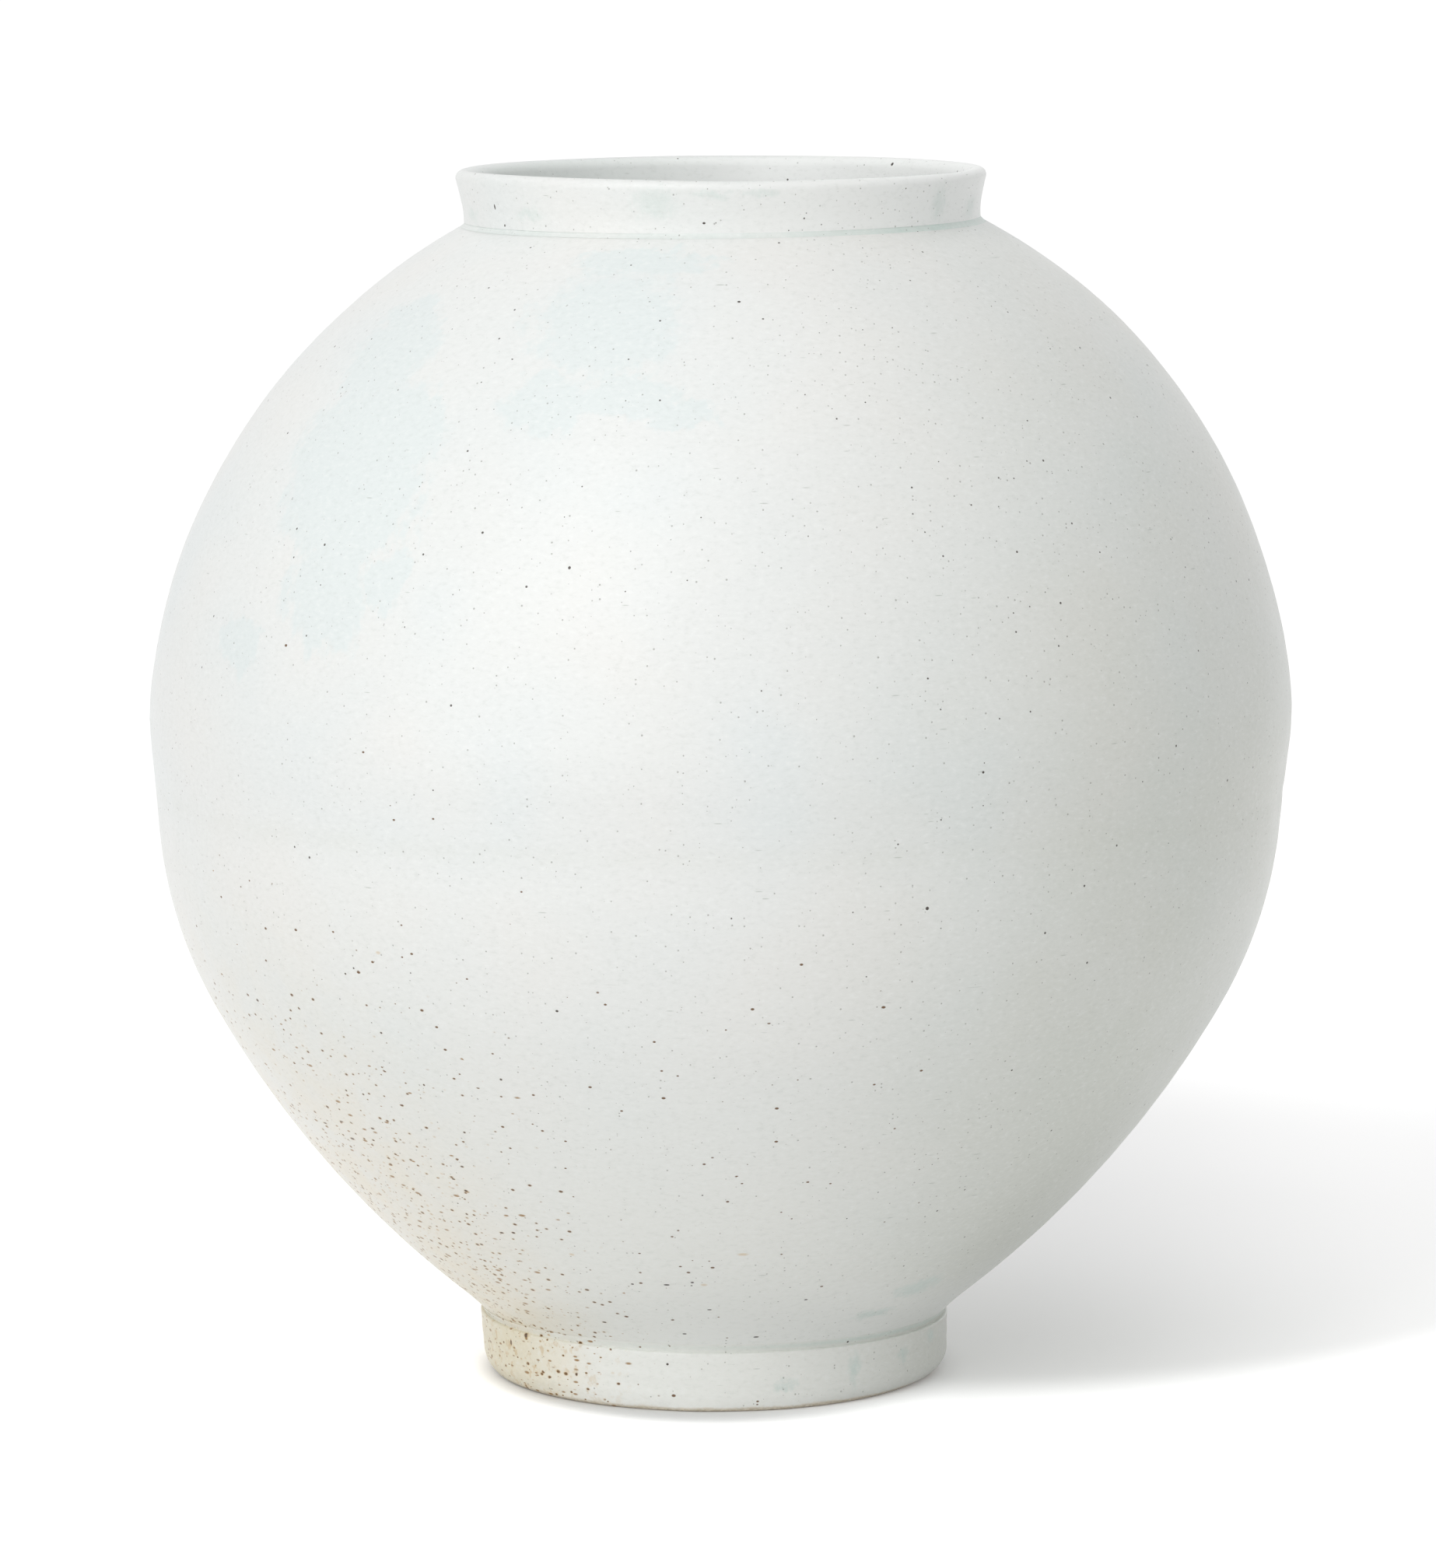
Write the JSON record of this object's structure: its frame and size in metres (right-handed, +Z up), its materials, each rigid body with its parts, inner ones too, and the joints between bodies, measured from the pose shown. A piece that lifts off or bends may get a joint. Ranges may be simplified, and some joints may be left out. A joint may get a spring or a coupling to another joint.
{
  "type": "moon jar",
  "caption": "Large round white porcelain jar of thrown bowls luted rim to rim, with a low flared collar and a foot ring, for holding or display.",
  "frame": {"origin": "on the floor under the middle of the belly", "axes": "+Z up through the mouth; +X to the right as the picture shows the jar, -Y towards the viewer"},
  "size_m": [0.4248, 0.4248, 0.4512],
  "materials": {
    "foot_porcelain": "clear glaze over off-white porcelain, bare beige clay at the floor",
    "lower_glaze": "satin milky glaze with iron specks and a warm scorched side",
    "upper_glaze": "satin milky glaze with fine iron specks and icy patches",
    "collar_glaze": "satin milky glaze, pooled pale celadon under the lip",
    "luting_slip": "glaze pooled over the luted joint",
    "inner_coil": "thin glaze over hand-pressed clay"
  },
  "bodies": {
    "root": {"foot_ring": "foot_porcelain", "foot_slip": "luting_slip", "lower_bowl": "lower_glaze", "waist_slip": "luting_slip", "waist_coil": "inner_coil", "upper_bowl": "upper_glaze", "collar_slip": "luting_slip", "mouth_collar": "collar_glaze"}
  },
  "joints": []
}
